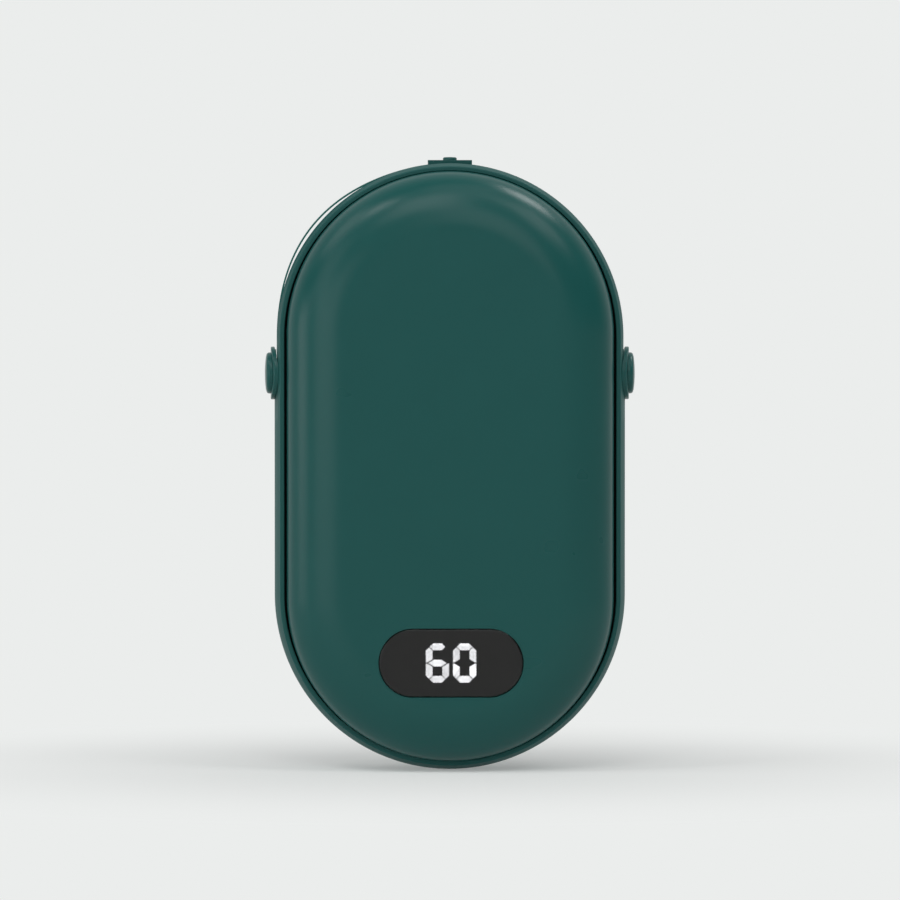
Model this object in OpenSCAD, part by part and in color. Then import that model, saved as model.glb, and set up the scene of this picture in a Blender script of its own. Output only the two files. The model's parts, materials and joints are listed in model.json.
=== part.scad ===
// Rechargeable pocket hand warmer: two crowned panels on a mid-frame, a two-digit display,
// a push button on top and a thin carry strap that swings on a pivot at each side.
// Millimetres. +Z runs up the long axis, the display faces -Y, and the origin is the bottom centre.

/* [Housing] */
// Width of the housing across its straight sides
body_w = 63; // [61:0.5:67]
// Height of the housing, from its bottom to the top of the arch
body_h = 109.4; // [106:0.2:118]
// Thickness of the housing over both panels
body_d = 26; // [25:0.5:30]
// Thickness of the mid-frame, lip to lip
frame_d = 11.2; // [10.8:0.2:12]
// Radius of the bulge across the mid-frame's side
barrel_r = 16; // [14:0.5:22]
// Border of the mid-frame outside the seam, at the straight sides
side_border = 1.75; // [1.5:0.05:2]
// Border of the mid-frame outside the seam, at the two ends
end_border = 1.35; // [1.2:0.05:1.6]
// Bevel on the outer edge of each lip
lip_bevel = 0.25; // [0.15:0.05:0.4]
// Width of the seam between a panel and the mid-frame
seam_w = 0.45; // [0.3:0.05:0.6]
// How deep the gasket's edge lies below the lip, in the seam
seam_depth = 1; // [0.4:0.1:1]
// Ledge that the gasket and the panel stand on
ledge_w = 1.7; // [1.5:0.1:2.2]
// Depth of that ledge below the lip
ledge_depth = 2.2; // [1.9:0.1:2.6]

/* [Panels] */
// Wall of the panels
panel_wall = 1.6; // [1.5:0.1:2]
// Width of the rounded shoulder of a panel
shoulder_w = 10.5; // [9:0.25:12]
// Thickness of the gasket under a panel
gasket_t = 0.8; // [0.6:0.1:1]
// Width of a panel's snap hook
hook_w = 4; // [3:0.5:5]
// Thickness of a snap hook
hook_t = 1; // [0.8:0.1:1.2]
// How far a snap hook reaches below the panel's edge
hook_reach = 2.4; // [2.2:0.1:2.8]
// Catch on the end of a snap hook
catch_t = 0.4; // [0.3:0.1:0.5]
// Spacing of the snap hooks along each side
hook_pitch = 12; // [11:0.5:13]

/* [Display] */
// Height of the display's centre
display_h = 19.8; // [19:0.2:21]
// Length of the display window
window_l = 25.7; // [24:0.1:27]
// Height of the display window
window_w = 12.1; // [12:0.1:13.2]
// Thickness of the display window
window_t = 0.8; // [0.6:0.1:0.9]
// Gap round the display window
window_gap = 0.15; // [0.1:0.05:0.25]
// How far the window lies below the panel
window_sink = 0.12; // [0.05:0.01:0.2]
// Ledge that the window is seated on
window_ledge = 1.05; // [0.8:0.05:1.3]
// Thickness of the black mask behind the window
mask_t = 0.2; // [0.1:0.05:0.25]
// Height of a digit
digit_h = 7; // [6:0.1:7.6]
// Width of a digit
digit_w = 4.16; // [3.6:0.02:4.6]
// Distance between the centres of the two digits
digit_pitch = 4.86; // [4.8:0.02:5.4]
// Width of a segment's stroke
stroke_w = 1.2; // [0.8:0.05:1.3]
// Gap between two segments
stroke_gap = 0.18; // [0.1:0.02:0.3]

/* [Strap] */
// How far the side pivots lie below the centre of the arch
pivot_drop = 6.6; // [5.6:0.2:9]
// Width of the strap
strap_w = 7; // [6.4:0.2:7.4]
// Thickness of the strap
strap_t = 0.3; // [0.25:0.05:0.4]
// Depth of the recess that the strap lies in
recess_d = 0.75; // [0.7:0.05:0.8]
// Gap between the strap and the recess's front wall
recess_gap = 0.15; // [0.1:0.05:0.3]
// Gap under the strap
strap_gap = 0.05; // [0.03:0.01:0.1]
// How far the strap stands off the left of the arch
strap_bow = 0.72; // [0.5:0.02:0.8]
// How far back the strap swings, in degrees
swing_max = 110; // [60:5:115]
// Diameter of the strap's eyelets
eyelet_d = 8.6; // [8.2:0.1:8.8]
// Diameter of the pivot studs
stud_d = 3; // [2.4:0.1:3.4]
// Running gap of an eyelet on its stud and between its two seats
eyelet_gap = 0.05; // [0.03:0.01:0.08]
// Diameter of the round plate outside each eyelet
plate_d = 9.5; // [9.3:0.1:10]
// Radius of the bulge across that plate's outer face
plate_bulge_r = 20; // [18:1:30]
// How far that plate stands out from the side
plate_out = 0.7; // [0.6:0.05:0.9]
// Diameter of the cap on each pivot
cap_d = 7.4; // [6:0.1:8]
// How far the cap's rim stands out from the plate
cap_t = 0.75; // [0.7:0.05:1.2]
// Rise of the cap's dome
cap_dome = 0.3; // [0.2:0.05:0.5]

/* [Power button] */
// Length of the button's base, along the arch
base_l = 7.9; // [6:0.1:9]
// Depth of the button's base, front to back
base_w = 3; // [2.9:0.1:3.2]
// How far the base stands out from the top of the housing
base_out = 0.15; // [0.1:0.05:0.3]
// Diameter of the button
button_d = 2.5; // [2:0.05:2.6]
// How far the button stands out from its base
button_out = 0.55; // [0.5:0.05:0.9]
// Travel of the button
button_travel = 0.3; // [0.2:0.05:0.4]
// Running gap round the button
button_gap = 0.05; // [0.03:0.01:0.08]
// Wall of the base's sleeve, which guides the button
sleeve_wall = 0.6; // [0.4:0.05:0.7]

/* [Battery and heaters] */
// Width of the battery cell
cell_w = 36; // [33:0.5:38]
// How far the battery cell reaches above the centre of the arch
cell_rise = 10.9; // [6:0.1:11.5]
// Thickness of the battery cell
cell_t = 9.6; // [8:0.2:10]
// Gap round the cell in its tray
cell_gap = 0.2; // [0.1:0.05:0.4]
// Walls and floor of the battery tray
tray_wall = 1.2; // [1:0.1:1.5]
// Thickness of the foam on the cell
foam_t = 1; // [0.5:0.1:1.5]
// Radius of the heat spreaders' ends
spreader_r = 17; // [15:0.5:18]
// Thickness of a heat spreader
spreader_t = 0.5; // [0.3:0.1:0.8]
// Thickness of a heater film
heater_t = 0.3; // [0.2:0.05:0.5]

/* [Electronics] */
// Thickness of the circuit boards
board_t = 1.2; // [1:0.1:1.6]
// Width of the main board
board_w = 26; // [24:0.5:28]
// Length of the main board
board_l = 21; // [20:0.5:21.5]
// Width of the charging port's shell
port_w = 8.94; // [8.9:0.02:9]
// Height of the charging port's shell
port_h = 3.26; // [3.2:0.02:3.3]
// Length of the charging port's shell
port_l = 7.9; // [7.4:0.1:8.4]
// Diameter of the fixing screws
screw_d = 1.6; // [1.4:0.1:2]
// Diameter of a wire
wire_d = 1; // [0.8:0.1:1.2]

/* [Hidden] */

// One overrun for every cut, and the gap left between pieces that only pass each other
over = 1;
pass_gap = 0.3;
// Steps of the curves that a formula draws, and the fineness of circles: of most, of wires and of the
// wide bulge across the small discs
curve_steps = 14;
strap_steps = 72;
$fn = 96;
wire_fn = 24;
bulge_fn = 360;
// Turn of a round hole about its own axis
seam_turn = 15;

// Colours
green = [0.17, 0.38, 0.36];
green_light = [0.24, 0.46, 0.43];
black = [0.04, 0.04, 0.045];
off_white = [0.93, 0.94, 0.95];
steel = [0.72, 0.73, 0.75];
board_green = [0.05, 0.24, 0.16];
film_orange = [0.78, 0.42, 0.12];

// Outline of the housing, and of the opening that the panels close
body_r = body_w / 2;
body_low = body_r;
body_top = body_h - body_r;
pivot_h = body_top - pivot_drop;
opening_r = body_r - side_border;
opening_low = end_border + opening_r;
opening_top = body_h - end_border - opening_r;
inner_r = opening_r - ledge_w;
lip_z = frame_d / 2;
ledge_z = lip_z - ledge_depth;
barrel_x = body_r - barrel_r;

// Heads of the pivot studs, inside the mid-frame
stud_head_d = 6;
stud_head_t = 0.9;

// Panels
panel_r = opening_r - seam_w;
panel_foot_z = ledge_z + gasket_t;
flat_r = panel_r - shoulder_w;
crown_z = body_d / 2;
crown_h = crown_z - lip_z;
under_z = crown_z - panel_wall;
hook_x = inner_r - pass_gap / 2;
hook_z = panel_foot_z - hook_reach;
hook_first_share = 1.25;
hook_low = opening_low + hook_first_share * hook_w;
hook_high = pivot_h - stud_head_d / 2 - hook_w / 2 - pass_gap;
hook_count = 1 + floor((hook_high - hook_low) / hook_pitch);
hook_places = [for (i = [0:hook_count - 1]) hook_low + i * hook_pitch];
catch_h = hook_t;

// Display, from the front down
window_z = crown_z - window_sink - window_t;
mask_z = window_z - mask_t;
module_l = 15;
module_w = 9.8;
module_h = 4;
middle_inset = 0.42;
middle_point = 1;
display_board_z = mask_z - module_h - board_t;
display_board_l = 35;
display_board_w = 11.6;
display_post_x = 15.4;
display_post_r = 1.9;
header_l = 10;
header_w = 2.5;

// Strap, pivots and their seats, from the arch outward. The strap swings back on an arc about the pivots,
// so behind the middle the recess falls away by what that arc drops on its way to the rear lip.
floor_r = body_r - recess_d;
strap_in = floor_r + strap_gap;
swing_r = body_top + strap_in - pivot_h;
rear_floor_r = floor_r - swing_r + sqrt(pow(swing_r, 2) - pow(lip_z, 2));
strap_out = strap_in + strap_t;
seat_x = strap_in - eyelet_gap;
plate_x = strap_out + eyelet_gap;
plate_top = body_r + plate_out;
cap_rim_x = plate_top + cap_t;
cap_top = cap_rim_x + cap_dome;
cap_cover_t = 0.5;
recess_r = eyelet_d / 2 + pass_gap / 2;
notch_gap_left = 0.3;
notch_gap_right = 0.1;
notch_gap_back = 0.3;
// Angle of the arch's left part along which the strap stands off
bow_span = 76;

// Power button, from the top down
base_top = body_h + base_out;
button_top = base_top + button_out;
floor_top = body_top + floor_r;
inner_top = opening_top + inner_r;
sleeve_r = button_d / 2 + button_gap + sleeve_wall;
sleeve_end = inner_top - pass_gap;
flange_r = sleeve_r;
flange_t = 0.6;
button_edge = 0.2;
button_end = sleeve_end - flange_t;
plunger_top = button_end - button_travel - button_gap;
plunger_d = 1.6;
plunger_h = 0.5;
switch_l = 4;
switch_w = 3;
switch_h = 1.5;
switch_base = plunger_top - plunger_h - switch_h;
switch_board_l = 11;
switch_board_w = 6;
rail_t = 1.2;
rail_in_x = switch_board_l / 2 - rail_t;

// Main board and charging port
board_top_z = board_t / 2;
board_z = -board_t / 2;
port_mouth = 0.7;
port_wall = 0.3;
port_tongue_w = 6.7;
port_tongue_t = 0.7;
port_tongue_inset = 1.1;
port_fit = 0.1;
board_arm_w = 16;
board_arm_low = 5.2;
board_low = port_mouth + port_l;
board_high = board_low + board_l;
board_post_x = 9.8;
board_post_r = 2;
board_post_low = board_low + board_post_r + pass_gap;
board_post_high = board_high - board_post_r - pass_gap;
chip_l = 5;
chip_t = 1;
inductor_r = 3.2;
inductor_h = 3;
inductor_x = -6.5;
capacitor_r = 1.6;
capacitor_h = 3.4;
capacitor_pitch = 4;
capacitor_y = board_high - 2 * capacitor_r;
socket_l = 6;
socket_w = 3.6;
socket_gap = 2.08;
socket_h = display_board_z - board_top_z - socket_gap;
socket_x = 6.8;
socket_low = board_low + board_l / 4;

// Battery, tray and screws
tray_low = board_high + pass_gap;
cell_low = tray_low + tray_wall + cell_gap;
cell_high = opening_top + cell_rise;
cell_l = cell_high - cell_low;
cell_z = -cell_t / 2 - foam_t / 2;
tray_z = cell_z - tray_wall;
tray_rim_z = cell_z + cell_t;
tray_half_w = cell_w / 2 + cell_gap + tray_wall;
tray_high = cell_high + cell_gap + tray_wall;
foam_z = tray_rim_z;
ear_z = 1;
ear_t = 1.2;
ear_r = 2.4;
post_x = inner_r - ear_r - pass_gap;
post_low = hook_places[0] + hook_pitch / 2;
post_high = opening_top + ear_r + pass_gap;
post_end_z = -ledge_z;
screw_head_d = 3;
screw_head_t = 1;
screw_l = 4;

// Heaters, from the panels inward
spreader_z = under_z - spreader_t;
heater_z = spreader_z - heater_t;
heater_inset = 1;
heater_r = spreader_r - heater_inset;
insulation_w = cell_w - 2 * tray_wall;
insulation_l = cell_l - 2 * tray_wall;
insulation_low = cell_low + tray_wall;
insulation_z = foam_z + foam_t;
front_low = display_h + window_w / 2 + display_post_r + spreader_r;
rear_low = opening_low;
sensor_d = 1.8;
sensor_l = 3;

// Wires, two to a lead
wire_r = wire_d / 2;
wire_pitch_share = 1.4;
wire_pitch = wire_pitch_share * wire_d;
// A wire's corner is a ball a little wider than the wire
corner_share = 1.08;
corner_r = wire_r * corner_share;
wire_side_x = tray_half_w + wire_d;
wire_side_z = ear_z + screw_head_t + wire_d;

// Draws in a lying frame, with Y up the housing and Z out of its front, then stands it up
module upright() {
    rotate([90, 0, 0]) children();
}

// Copies its children to the left side
module both_sides() {
    for (side = [0, 1]) mirror([side, 0, 0]) children();
}

// Points of an arc, from one angle to another
function arc_points(x, y, r, from, to) = [
    for (i = [0:curve_steps])
        let (a = from + (to - from) * i / curve_steps) [x + r * cos(a), y + r * sin(a)]
];

// Points of a quarter ellipse, from its side to its top
function crown_points(x, z, w, h) = [
    for (i = [0:curve_steps])
        let (a = 90 * i / curve_steps) [x + w * cos(a), z + h * sin(a)]
];

// Outline with two straight sides and two round ends
module stadium(r, low, high) {
    translate([0, low]) circle(r);
    translate([0, high]) circle(r);
    translate([-r, low]) square([2 * r, high - low]);
}

module stadium_plate(r, low, high, z, t) {
    translate([0, 0, z]) linear_extrude(t) stadium(r, low, high);
}

// Pill outline lying across the housing
module pill(l, w) {
    translate([-(l - w) / 2, 0]) circle(w / 2);
    translate([(l - w) / 2, 0]) circle(w / 2);
    translate([-(l - w) / 2, -w / 2]) square([l - w, w]);
}

// Turns a half profile round both ends of a stadium and runs it along the sides
module stadium_sweep(low, high) {
    half = (high - low) / 2;
    translate([0, (low + high) / 2, 0]) {
        translate([0, half, 0]) rotate_extrude(angle = 180) children();
        translate([0, -half, 0]) rotate([0, 0, 180]) rotate_extrude(angle = 180) children();
        both_sides() rotate([90, 0, 0]) linear_extrude(2 * half, center = true) children();
    }
}

// Cylinder along X, between two distances from the middle
module side_cylinder(r, from, to) {
    translate([from, 0, 0]) rotate([0, 90, 0]) cylinder(r = r, h = to - from);
}

// Cylinder along Y, between two heights, turned so that its seam is off the arch's middle plane
module tall_cylinder(r, from, to) {
    translate([0, from, 0]) rotate([-90, 0, 0]) rotate(seam_turn) cylinder(r = r, h = to - from);
}

// Box given by its middle in X, its low Y, its low Z and its size
module box(x, y, z, size) {
    translate([x - size[0] / 2, y, z]) cube(size);
}

// Wire of straight runs with round corners
module wire(points) {
    for (i = [0:len(points) - 2]) {
        run = points[i + 1] - points[i];
        length = norm(run);
        translate(points[i])
            rotate([0, acos(run[2] / length), atan2(run[1], run[0])])
            cylinder(r = wire_r, h = length, $fn = wire_fn);
        if (i > 0) translate(points[i]) sphere(r = corner_r, $fn = wire_fn);
    }
}

// Screw that stands on z and points down
module screw(z) {
    translate([0, 0, z]) cylinder(d = screw_head_d, h = screw_head_t);
    translate([0, 0, z - screw_l]) cylinder(d = screw_d, h = screw_l);
}

// Solid mid-frame with the bulge across its sides
module barrel() {
    lip_angle = asin((lip_z - lip_bevel) / barrel_r);
    lip_x = barrel_x + barrel_r * cos(lip_angle);
    side = arc_points(barrel_x, 0, barrel_r, -lip_angle, lip_angle);
    stadium_sweep(body_low, body_top)
        polygon(concat(
            [[0, -lip_z], [lip_x - lip_bevel, -lip_z]], side, [[lip_x - lip_bevel, lip_z], [0, lip_z]]
        ));
}

// Solid under the strap: as wide as the recess's floor, and falling away behind the middle
module strap_floor() {
    stadium_sweep(body_low, body_top)
        polygon([[0, -lip_z - over], [rear_floor_r, -lip_z - over], [rear_floor_r, -lip_z], [floor_r, 0],
            [floor_r, lip_z + over], [0, lip_z + over]]);
}

// Space that the strap lies in and swings through: it has a wall in front and is open to the rear
module strap_recess() {
    difference() {
        union() {
            translate([-body_w, pivot_h, -lip_z])
                cube([2 * body_w, body_h, lip_z + strap_w / 2 + recess_gap]);
            translate([0, pivot_h, 0]) side_cylinder(recess_r, -body_w, body_w);
            translate([0, pivot_h, 0]) rotate([-swing_max, 0, 0])
                box(0, 0, -strap_w / 2 - pass_gap, [2 * body_w, body_d / 2, strap_w + 2 * pass_gap]);
        }
        strap_floor();
    }
}

// Post from the mid-frame's side wall, for a screw from the front
module frame_post(y) {
    difference() {
        translate([0, y, 0]) {
            translate([post_x, 0, post_end_z]) cylinder(r = ear_r, h = ear_z - ear_t - post_end_z);
            translate([post_x, -ear_r, post_end_z])
                cube([inner_r + ledge_w / 2 - post_x, 2 * ear_r, ear_z - ear_t - post_end_z]);
        }
        translate([post_x, y, ear_z - screw_l]) cylinder(d = screw_d, h = screw_l + over);
    }
}

// Post from the mid-frame's bottom wall, under the main board
module board_post() {
    wall_y = opening_low - sqrt(pow(inner_r, 2) - pow(board_post_x + board_post_r, 2));
    difference() {
        union() {
            translate([board_post_x, board_post_low, post_end_z])
                cylinder(r = board_post_r, h = board_z - post_end_z);
            translate([board_post_x - board_post_r, wall_y - ledge_w / 2, post_end_z])
                cube([2 * board_post_r, board_post_low - wall_y + ledge_w / 2, board_z - post_end_z]);
        }
        translate([board_post_x, board_post_low, board_top_z - screw_l])
            cylinder(d = screw_d, h = screw_l + over);
    }
}

// Grooved rails under the arch that hold the switch board
module switch_rails() {
    rail_y = switch_base - board_t - rail_t;
    both_sides() difference() {
        intersection() {
            box(switch_board_l / 2, rail_y, -switch_board_w / 2,
                [2 * rail_t, body_h - rail_y, switch_board_w]);
            stadium_plate(inner_r + ledge_w / 2, opening_low, opening_top, -body_d, 2 * body_d);
        }
        box(0, rail_y + rail_t, -body_d, [switch_board_l, board_t, 2 * body_d]);
    }
}

module mid_frame() {
    color(green) upright() {
        difference() {
            barrel();
            stadium_plate(inner_r, opening_low, opening_top, -body_d, 2 * body_d);
            for (side = [0, 1]) mirror([0, 0, side])
                stadium_plate(opening_r, opening_low, opening_top, ledge_z, body_d);
            strap_recess();
            hook_pockets();
            both_sides() translate([0, pivot_h, 0]) side_cylinder(stud_d / 2, 0, body_w);
            tall_cylinder(sleeve_r, body_top, body_h + over);
            translate([0, port_mouth + port_l, 0]) rotate([90, 0, 0])
                linear_extrude(port_l + port_mouth + over) pill(port_w + port_fit, port_h + port_fit);
        }
        both_sides() {
            translate([0, pivot_h, 0]) difference() {
                side_cylinder(eyelet_d / 2, opening_r + side_border / 4, seat_x);
                side_cylinder(stud_d / 2, 0, body_w);
            }
            frame_post(post_low);
            frame_post(post_high);
            board_post();
        }
        switch_rails();
    }
}

// Pockets in the mid-frame for the catches of the snap hooks, front and rear
module hook_pockets() {
    for (back = [0, 1]) mirror([0, 0, back]) both_sides()
        for (y = hook_places)
            box(inner_r, y - hook_w / 2 - pass_gap, hook_z - pass_gap,
                [2 * (catch_t + pass_gap), hook_w + 2 * pass_gap, catch_h + 2 * pass_gap]);
}

// Snap hooks along both sides of a panel, rooted in its wall
module snap_hooks() {
    both_sides() for (y = hook_places) translate([0, y - hook_w / 2, 0]) {
        translate([hook_x - hook_t, 0, hook_z]) cube([hook_t, hook_w, lip_z - hook_z]);
        translate([hook_x - catch_t, 0, hook_z]) cube([2 * catch_t, hook_w, catch_h]);
        translate([hook_x - hook_t, 0, panel_foot_z])
            cube([panel_r - panel_wall / 2 - hook_x + hook_t, hook_w, lip_z - panel_foot_z]);
    }
}

// Crowned shell, open toward the middle of the housing
module panel_shell() {
    in_r = panel_r - panel_wall;
    difference() {
        stadium_sweep(opening_low, opening_top)
            polygon(concat([[0, panel_foot_z], [panel_r, panel_foot_z]],
                crown_points(flat_r, lip_z, shoulder_w, crown_h), [[0, crown_z]]));
        stadium_sweep(opening_low, opening_top)
            polygon(concat([[0, panel_foot_z - over], [in_r, panel_foot_z - over]],
                crown_points(flat_r, lip_z, in_r - flat_r, under_z - lip_z), [[0, under_z]]));
    }
    snap_hooks();
}

module front_panel() {
    color(green) upright() {
        difference() {
            panel_shell();
            translate([0, display_h, mask_z]) linear_extrude(panel_wall)
                pill(window_l + 2 * window_gap, window_w + 2 * window_gap);
            translate([0, display_h, under_z - over]) linear_extrude(panel_wall + over)
                pill(window_l - 2 * window_ledge, window_w - 2 * window_ledge);
        }
        display_posts();
    }
}

// Posts on the front panel that the display board is screwed to
module display_posts() {
    low_z = display_board_z + board_t;
    both_sides() translate([display_post_x, display_h, 0]) difference() {
        translate([0, 0, low_z]) cylinder(r = display_post_r, h = under_z + panel_wall / 4 - low_z);
        translate([0, 0, display_board_z - over]) cylinder(d = screw_d, h = screw_l / 2 + board_t + over);
    }
}

module rear_panel() {
    color(green) upright() mirror([0, 0, 1]) panel_shell();
}

// Ring under a panel's edge, with a lip that stands in the seam
module gasket() {
    difference() {
        stadium_plate(opening_r, opening_low, opening_top, ledge_z, lip_z - seam_depth - ledge_z);
        stadium_plate(panel_r, opening_low, opening_top, panel_foot_z, body_d);
        stadium_plate(inner_r + pass_gap, opening_low, opening_top, 0, body_d);
    }
}

module front_gasket() {
    color(black) upright() gasket();
}

module rear_gasket() {
    color(black) upright() mirror([0, 0, 1]) gasket();
}

module display_window() {
    color([0.1, 0.1, 0.11, 0.5]) upright()
        translate([0, display_h, window_z]) linear_extrude(window_t) pill(window_l, window_w);
}

// Outline of a level segment about its middle, with a point of some length at each end
module level_bar(length, point) {
    half_w = stroke_w / 2;
    half_l = length / 2;
    polygon([[-half_l, 0], [-half_l + point, half_w], [half_l - point, half_w],
        [half_l, 0], [half_l - point, -half_w], [-half_l + point, -half_w]]);
}

// Outline of the upright segment at the upper left of a digit, slanted along the middle segment's point
module side_bar() {
    out_x = -digit_w / 2;
    in_x = out_x + stroke_w;
    top_y = (digit_h - stroke_w - stroke_gap) / 2;
    slope = stroke_w / 2 / middle_point;
    lift = stroke_gap * sqrt(1 + pow(slope, 2));
    in_y = (stroke_w - middle_inset) * slope + lift;
    foot_x = out_x + middle_inset - (lift - stroke_gap / 2) / slope;
    polygon([[out_x, stroke_gap / 2], [out_x, top_y - stroke_w / 2], [out_x + stroke_w / 2, top_y],
        [in_x, top_y - stroke_w / 2], [in_x, in_y], [foot_x, stroke_gap / 2]]);
}

// One digit: a list of seven flags says which segments to draw, from the top clockwise, then the middle
module digit(flags) {
    for (low = [0, 1]) if (flags[3 * low])
        mirror([0, low]) translate([0, (digit_h - stroke_w) / 2])
            level_bar(digit_w - stroke_w - stroke_gap, stroke_w / 2);
    for (i = [1, 2, 4, 5]) if (flags[i])
        mirror([i < 3 ? 1 : 0, 0]) mirror([0, i == 2 || i == 4 ? 1 : 0]) side_bar();
    if (flags[6]) level_bar(digit_w - 2 * middle_inset, middle_point);
}

six_lit = [true, false, true, true, true, true, true];
zero_lit = [true, true, true, true, true, true, false];

// Both digits; lit picks the segments that glow or those that stay dark
module digits(lit) {
    translate([-digit_pitch / 2, display_h]) digit([for (f = six_lit) f == lit]);
    translate([digit_pitch / 2, display_h]) digit([for (f = zero_lit) f == lit]);
}

module display_mask() {
    color(black) upright() translate([0, 0, mask_z]) difference() {
        linear_extrude(mask_t) translate([0, display_h]) pill(window_l, window_w);
        translate([0, 0, -over]) linear_extrude(mask_t + 2 * over) digits(true);
        translate([0, 0, -over]) linear_extrude(mask_t + 2 * over) digits(false);
    }
}

module lit_segments() {
    color("white") upright() translate([0, 0, mask_z]) linear_extrude(mask_t) digits(true);
}

module unlit_segments() {
    color([0.1, 0.1, 0.1]) upright() translate([0, 0, mask_z]) linear_extrude(mask_t) digits(false);
}

module display_module() {
    color(off_white) upright()
        box(0, display_h - module_w / 2, mask_z - module_h, [module_l, module_w, module_h]);
}

module display_board() {
    color(board_green) upright() difference() {
        box(0, display_h - display_board_w / 2, display_board_z,
            [display_board_l, display_board_w, board_t]);
        both_sides() translate([display_post_x, display_h, display_board_z - over])
            cylinder(d = screw_d, h = board_t + 2 * over);
    }
}

// Strip of pins that joins the display board to the main board
module display_header() {
    color(black) upright()
        box(0, display_h - header_w / 2, board_top_z,
            [header_l, header_w, display_board_z - board_top_z]);
}

module display_screws() {
    color(steel) upright() both_sides()
        translate([display_post_x, display_h, 0]) {
            translate([0, 0, display_board_z - screw_head_t]) cylinder(d = screw_head_d, h = screw_head_t);
            translate([0, 0, display_board_z]) cylinder(d = screw_d, h = screw_l / 2 + board_t);
        }
}

module main_board() {
    color(board_green) upright() difference() {
        union() {
            box(0, board_low, board_z, [board_w, board_l, board_t]);
            box(0, board_arm_low, board_z, [board_arm_w, board_low - board_arm_low, board_t]);
        }
        box(0, 0, board_z - over, [port_w, board_low, board_t + 2 * over]);
        both_sides() for (y = [board_post_low, board_post_high])
            translate([board_post_x, y, board_z - over]) cylinder(d = screw_d, h = board_t + 2 * over);
    }
}

// Flat chips on the rear face of the main board
module board_chips() {
    color(black) upright() for (x = [-chip_l, chip_l / 2])
        box(x, display_h - chip_l / 2, board_z - chip_t, [chip_l, chip_l, chip_t]);
}

module power_inductor() {
    color([0.2, 0.2, 0.21]) upright()
        translate([inductor_x, display_h - header_w / 2 - inductor_r - pass_gap, board_top_z])
        cylinder(r = inductor_r, h = inductor_h);
}

module board_capacitors() {
    color([0.55, 0.45, 0.2]) upright() for (side = [-1, 1])
        translate([side * capacitor_pitch / 2, capacitor_y, board_top_z])
            cylinder(r = capacitor_r, h = capacitor_h);
}

module battery_socket() {
    color(off_white) upright()
        box(socket_x, socket_low, board_top_z, [socket_l, socket_w, socket_h]);
}

// Charging port: a shell round a thin tongue, its mouth in the bottom of the housing
module charging_port() {
    color(steel) upright() translate([0, port_mouth + port_l, 0]) rotate([90, 0, 0]) {
        difference() {
            linear_extrude(port_l) pill(port_w, port_h);
            translate([0, 0, port_wall]) linear_extrude(port_l)
                pill(port_w - 2 * port_wall, port_h - 2 * port_wall);
        }
        translate([-port_tongue_w / 2, -port_tongue_t / 2, 0])
            cube([port_tongue_w, port_tongue_t, port_l - port_tongue_inset]);
    }
}

module board_screws() {
    color(steel) upright() both_sides() for (y = [board_post_low, board_post_high])
        translate([board_post_x, y, 0]) screw(board_top_z);
}

module battery_cell() {
    color([0.75, 0.77, 0.8]) upright() box(0, cell_low, cell_z, [cell_w, cell_l, cell_t]);
}

// Open tray round the cell, with ears on the mid-frame's posts and a shelf under the main board
module battery_tray() {
    shelf_low = board_post_high - board_post_r;
    color([0.22, 0.23, 0.24]) upright() difference() {
        union() {
            box(0, tray_low, tray_z, [2 * tray_half_w, tray_high - tray_low, tray_rim_z - tray_z]);
            both_sides() for (y = [post_low, post_high]) {
                translate([post_x, y, ear_z - ear_t]) cylinder(r = ear_r, h = ear_t);
                translate([0, y - ear_r, ear_z - ear_t]) cube([post_x, 2 * ear_r, ear_t]);
            }
            box(0, shelf_low, board_z - tray_wall,
                [2 * (board_post_x + board_post_r), tray_low - shelf_low + over, tray_wall]);
            both_sides() translate([board_post_x, board_post_high, board_top_z - screw_l])
                cylinder(r = board_post_r, h = board_z - board_top_z + screw_l);
        }
        box(0, tray_low + tray_wall, cell_z, [2 * (tray_half_w - tray_wall),
            tray_high - tray_low - 2 * tray_wall, body_d]);
        both_sides() {
            for (y = [post_low, post_high])
                translate([post_x, y, -body_d]) cylinder(d = screw_d, h = 2 * body_d);
            translate([board_post_x, board_post_high, -body_d]) cylinder(d = screw_d, h = 2 * body_d);
        }
    }
}

module battery_foam() {
    color([0.3, 0.31, 0.33]) upright()
        box(0, insulation_low, foam_z, [insulation_w, insulation_l, foam_t]);
}

module tray_screws() {
    color(steel) upright() both_sides() for (y = [post_low, post_high])
        translate([post_x, y, 0]) screw(ear_z);
}

module front_heat_spreader() {
    color([0.8, 0.81, 0.83]) upright()
        stadium_plate(spreader_r, front_low, opening_top, spreader_z, spreader_t);
}

module front_heater() {
    color(film_orange) upright()
        stadium_plate(heater_r, front_low, opening_top, heater_z, heater_t);
}

module front_insulation() {
    color([0.86, 0.86, 0.84]) upright()
        box(0, insulation_low, insulation_z, [insulation_w, insulation_l, heater_z - insulation_z]);
}

module rear_heat_spreader() {
    color([0.8, 0.81, 0.83]) upright() mirror([0, 0, 1])
        stadium_plate(spreader_r, rear_low, opening_top, spreader_z, spreader_t);
}

module rear_heater() {
    color(film_orange) upright() mirror([0, 0, 1])
        stadium_plate(heater_r, rear_low, opening_top, heater_z, heater_t);
}

module rear_insulation() {
    color([0.86, 0.86, 0.84]) upright()
        box(0, insulation_low, -heater_z, [insulation_w, insulation_l, heater_z + tray_z]);
}

// Bead on the front heater, beside the foam
module temperature_sensor() {
    y = insulation_low - sensor_d / 2;
    z = heater_z - sensor_d / 2;
    lead_y = capacitor_y + capacitor_r + wire_d;
    color([0.12, 0.12, 0.12]) upright() {
        translate([0, y, z]) rotate([0, 90, 0]) cylinder(d = sensor_d, h = sensor_l, center = true);
        for (side = [-1, 1]) {
            x = side * (sensor_l / 2 - wire_r);
            wire([[x, y, z], [x, lead_y, z], [x, lead_y, board_top_z]]);
        }
    }
}

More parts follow.
